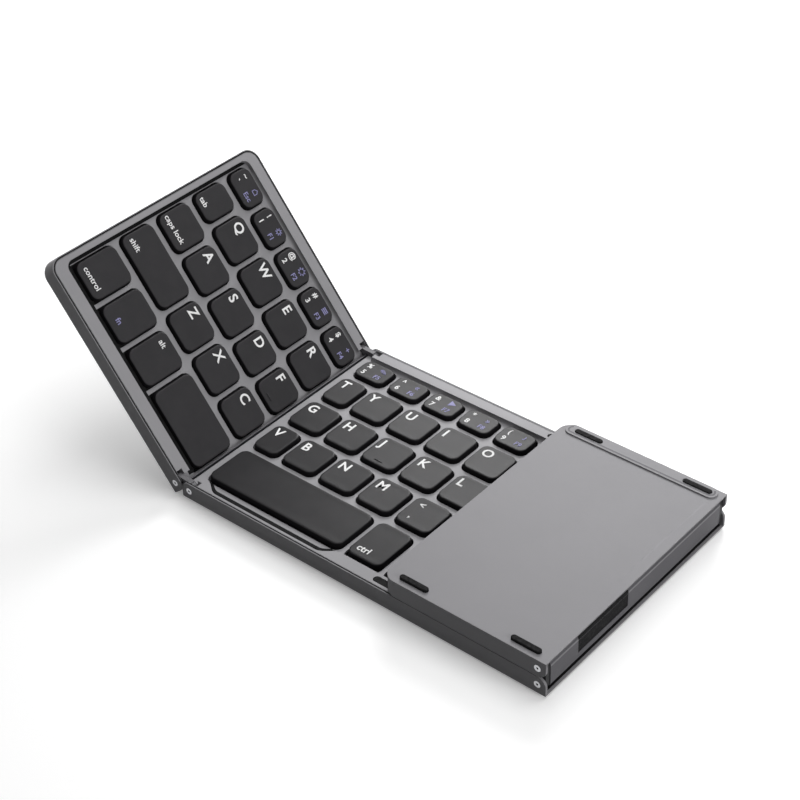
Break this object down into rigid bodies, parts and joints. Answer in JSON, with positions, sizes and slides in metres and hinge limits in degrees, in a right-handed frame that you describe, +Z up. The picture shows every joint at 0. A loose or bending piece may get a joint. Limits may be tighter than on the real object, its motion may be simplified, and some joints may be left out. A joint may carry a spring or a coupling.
{
  "type": "folding keyboard",
  "caption": "Pocket keyboard in hinged panels: a key panel folds in on one side and a touchpad panel on the other, on double-pin hinges with grey shells and dark keys.",
  "frame": {"origin": "on the desk, at the middle of the bounding box's base as the keyboard stands half open", "axes": "+X towards the touchpad panel's hinge, +Y away from the typist, towards the number row, +Z up"},
  "size_m": [0.21, 0.098, 0.0734],
  "materials": {
    "shell_metal": "fine-blasted, anodised grey",
    "deck_plastic": "metallic grey paint, matt",
    "keycap_left": "satin, dished, printed legends",
    "keycap_centre": "satin, dished, printed legends",
    "rubber": "matt",
    "bare_sheet": "bare rolled sheet",
    "silicone_sheet": "translucent milky film",
    "magnet": "nickel plated",
    "circuit_board": "solder mask",
    "battery_foil": "foil pouch",
    "socket_steel": "plated sheet",
    "touch_glass": "fine matt touch film",
    "hinge_steel": "satin",
    "spine_paint": "fine-blasted, anodised grey",
    "cable_sleeve": "matt black"
  },
  "bodies": {
    "centre_panel": {"centre_bottom_shell": "shell_metal", "centre_key_deck": "deck_plastic", "centre_support_plate": "bare_sheet", "centre_switch_sheet": "silicone_sheet", "centre_rubber_feet": "rubber", "fold_bumpers": "rubber"},
    "left_panel": {"left_bottom_shell": "shell_metal", "left_key_deck": "deck_plastic", "left_support_plate": "bare_sheet", "left_switch_sheet": "silicone_sheet", "left_rubber_feet": "rubber", "left_magnets": "magnet"},
    "right_panel": {"right_bottom_shell": "shell_metal", "touchpad_frame": "deck_plastic", "touchpad_surface": "touch_glass", "touchpad_board": "circuit_board", "main_circuit_board": "circuit_board", "battery_cell": "battery_foil", "charging_socket": "socket_steel", "right_rubber_feet": "rubber", "right_magnets": "magnet"},
    "left_spine": {"left_hinge_links": "hinge_steel", "left_hinge_pins": "hinge_steel", "left_spine_cover": "spine_paint", "left_cable_cover": "cable_sleeve"},
    "right_spine": {"right_hinge_links": "hinge_steel", "right_hinge_pins": "hinge_steel", "right_spine_cover": "spine_paint", "right_cable_cover": "cable_sleeve"},
    "key_q": {"key_q": "keycap_left"},
    "key_w": {"key_w": "keycap_left"},
    "key_e": {"key_e": "keycap_left"},
    "key_r": {"key_r": "keycap_left"},
    "key_a": {"key_a": "keycap_left"},
    "key_s": {"key_s": "keycap_left"},
    "key_d": {"key_d": "keycap_left"},
    "key_f": {"key_f": "keycap_left"},
    "key_z": {"key_z": "keycap_left"},
    "key_x": {"key_x": "keycap_left"},
    "key_c": {"key_c": "keycap_left"},
    "left_space_key": {"left_space_key": "keycap_left"},
    "left_number_keys": {"left_number_keys": "keycap_left"},
    "left_modifier_keys": {"left_modifier_keys": "keycap_left"},
    "key_t": {"key_t": "keycap_centre"},
    "key_y": {"key_y": "keycap_centre"},
    "key_u": {"key_u": "keycap_centre"},
    "key_i": {"key_i": "keycap_centre"},
    "key_o": {"key_o": "keycap_centre"},
    "key_g": {"key_g": "keycap_centre"},
    "key_h": {"key_h": "keycap_centre"},
    "key_j": {"key_j": "keycap_centre"},
    "key_k": {"key_k": "keycap_centre"},
    "key_l": {"key_l": "keycap_centre"},
    "key_v": {"key_v": "keycap_centre"},
    "key_b": {"key_b": "keycap_centre"},
    "key_n": {"key_n": "keycap_centre"},
    "key_m": {"key_m": "keycap_centre"},
    "right_space_key": {"right_space_key": "keycap_centre"},
    "centre_number_keys": {"centre_number_keys": "keycap_centre"},
    "centre_side_keys": {"centre_side_keys": "keycap_centre"}
  },
  "joints": [
    {"name": "left_link_hinge", "type": "hinge", "parent": "centre_panel", "child": "left_spine", "pos_m": [-0.04356, 0, 0.00425], "axis": [0, 1, 0], "range_deg": [-3, 87]},
    {"name": "left_panel_hinge", "type": "hinge", "parent": "left_spine", "child": "left_panel", "pos_m": [-0.05015, 0, 0.0046], "axis": [0, 1, 0], "range_deg": [-49, 41]},
    {"name": "right_link_hinge", "type": "hinge", "parent": "centre_panel", "child": "right_spine", "pos_m": [0.10184, 0, 0.00425], "axis": [0, -1, 0], "range_deg": [-90, 0]},
    {"name": "right_panel_hinge", "type": "hinge", "parent": "right_spine", "child": "right_panel", "pos_m": [0.10184, 0, 0.01085], "axis": [0, -1, 0], "range_deg": [-90, 0]},
    {"name": "key_q_travel", "type": "slide", "parent": "left_panel", "child": "key_q", "axis": [-0.788, 0, -0.6157], "range_m": [0, 0.0012], "stiffness_N_per_m": 400, "springref_m": -0.0006},
    {"name": "key_w_travel", "type": "slide", "parent": "left_panel", "child": "key_w", "axis": [-0.788, 0, -0.6157], "range_m": [0, 0.0012], "stiffness_N_per_m": 400, "springref_m": -0.0006},
    {"name": "key_e_travel", "type": "slide", "parent": "left_panel", "child": "key_e", "axis": [-0.788, 0, -0.6157], "range_m": [0, 0.0012], "stiffness_N_per_m": 400, "springref_m": -0.0006},
    {"name": "key_r_travel", "type": "slide", "parent": "left_panel", "child": "key_r", "axis": [-0.788, 0, -0.6157], "range_m": [0, 0.0012], "stiffness_N_per_m": 400, "springref_m": -0.0006},
    {"name": "key_a_travel", "type": "slide", "parent": "left_panel", "child": "key_a", "axis": [-0.788, 0, -0.6157], "range_m": [0, 0.0012], "stiffness_N_per_m": 400, "springref_m": -0.0006},
    {"name": "key_s_travel", "type": "slide", "parent": "left_panel", "child": "key_s", "axis": [-0.788, 0, -0.6157], "range_m": [0, 0.0012], "stiffness_N_per_m": 400, "springref_m": -0.0006},
    {"name": "key_d_travel", "type": "slide", "parent": "left_panel", "child": "key_d", "axis": [-0.788, 0, -0.6157], "range_m": [0, 0.0012], "stiffness_N_per_m": 400, "springref_m": -0.0006},
    {"name": "key_f_travel", "type": "slide", "parent": "left_panel", "child": "key_f", "axis": [-0.788, 0, -0.6157], "range_m": [0, 0.0012], "stiffness_N_per_m": 400, "springref_m": -0.0006},
    {"name": "key_z_travel", "type": "slide", "parent": "left_panel", "child": "key_z", "axis": [-0.788, 0, -0.6157], "range_m": [0, 0.0012], "stiffness_N_per_m": 400, "springref_m": -0.0006},
    {"name": "key_x_travel", "type": "slide", "parent": "left_panel", "child": "key_x", "axis": [-0.788, 0, -0.6157], "range_m": [0, 0.0012], "stiffness_N_per_m": 400, "springref_m": -0.0006},
    {"name": "key_c_travel", "type": "slide", "parent": "left_panel", "child": "key_c", "axis": [-0.788, 0, -0.6157], "range_m": [0, 0.0012], "stiffness_N_per_m": 400, "springref_m": -0.0006},
    {"name": "left_space_key_travel", "type": "slide", "parent": "left_panel", "child": "left_space_key", "axis": [-0.788, 0, -0.6157], "range_m": [0, 0.0012], "stiffness_N_per_m": 400, "springref_m": -0.0006},
    {"name": "left_number_keys_travel", "type": "slide", "parent": "left_panel", "child": "left_number_keys", "axis": [-0.788, 0, -0.6157], "range_m": [0, 0.0012], "stiffness_N_per_m": 2000, "springref_m": -0.0006},
    {"name": "left_modifier_keys_travel", "type": "slide", "parent": "left_panel", "child": "left_modifier_keys", "axis": [-0.788, 0, -0.6157], "range_m": [0, 0.0012], "stiffness_N_per_m": 2400, "springref_m": -0.0006},
    {"name": "key_t_travel", "type": "slide", "parent": "centre_panel", "child": "key_t", "axis": [0, 0, -1], "range_m": [0, 0.0012], "stiffness_N_per_m": 400, "springref_m": -0.0006},
    {"name": "key_y_travel", "type": "slide", "parent": "centre_panel", "child": "key_y", "axis": [0, 0, -1], "range_m": [0, 0.0012], "stiffness_N_per_m": 400, "springref_m": -0.0006},
    {"name": "key_u_travel", "type": "slide", "parent": "centre_panel", "child": "key_u", "axis": [0, 0, -1], "range_m": [0, 0.0012], "stiffness_N_per_m": 400, "springref_m": -0.0006},
    {"name": "key_i_travel", "type": "slide", "parent": "centre_panel", "child": "key_i", "axis": [0, 0, -1], "range_m": [0, 0.0012], "stiffness_N_per_m": 400, "springref_m": -0.0006},
    {"name": "key_o_travel", "type": "slide", "parent": "centre_panel", "child": "key_o", "axis": [0, 0, -1], "range_m": [0, 0.0012], "stiffness_N_per_m": 400, "springref_m": -0.0006},
    {"name": "key_g_travel", "type": "slide", "parent": "centre_panel", "child": "key_g", "axis": [0, 0, -1], "range_m": [0, 0.0012], "stiffness_N_per_m": 400, "springref_m": -0.0006},
    {"name": "key_h_travel", "type": "slide", "parent": "centre_panel", "child": "key_h", "axis": [0, 0, -1], "range_m": [0, 0.0012], "stiffness_N_per_m": 400, "springref_m": -0.0006},
    {"name": "key_j_travel", "type": "slide", "parent": "centre_panel", "child": "key_j", "axis": [0, 0, -1], "range_m": [0, 0.0012], "stiffness_N_per_m": 400, "springref_m": -0.0006},
    {"name": "key_k_travel", "type": "slide", "parent": "centre_panel", "child": "key_k", "axis": [0, 0, -1], "range_m": [0, 0.0012], "stiffness_N_per_m": 400, "springref_m": -0.0006},
    {"name": "key_l_travel", "type": "slide", "parent": "centre_panel", "child": "key_l", "axis": [0, 0, -1], "range_m": [0, 0.0012], "stiffness_N_per_m": 400, "springref_m": -0.0006},
    {"name": "key_v_travel", "type": "slide", "parent": "centre_panel", "child": "key_v", "axis": [0, 0, -1], "range_m": [0, 0.0012], "stiffness_N_per_m": 400, "springref_m": -0.0006},
    {"name": "key_b_travel", "type": "slide", "parent": "centre_panel", "child": "key_b", "axis": [0, 0, -1], "range_m": [0, 0.0012], "stiffness_N_per_m": 400, "springref_m": -0.0006},
    {"name": "key_n_travel", "type": "slide", "parent": "centre_panel", "child": "key_n", "axis": [0, 0, -1], "range_m": [0, 0.0012], "stiffness_N_per_m": 400, "springref_m": -0.0006},
    {"name": "key_m_travel", "type": "slide", "parent": "centre_panel", "child": "key_m", "axis": [0, 0, -1], "range_m": [0, 0.0012], "stiffness_N_per_m": 400, "springref_m": -0.0006},
    {"name": "right_space_key_travel", "type": "slide", "parent": "centre_panel", "child": "right_space_key", "axis": [0, 0, -1], "range_m": [0, 0.0012], "stiffness_N_per_m": 400, "springref_m": -0.0006},
    {"name": "centre_number_keys_travel", "type": "slide", "parent": "centre_panel", "child": "centre_number_keys", "axis": [0, 0, -1], "range_m": [0, 0.0012], "stiffness_N_per_m": 3600, "springref_m": -0.0006},
    {"name": "centre_side_keys_travel", "type": "slide", "parent": "centre_panel", "child": "centre_side_keys", "axis": [0, 0, -1], "range_m": [0, 0.0012], "stiffness_N_per_m": 6800, "springref_m": -0.0006}
  ]
}
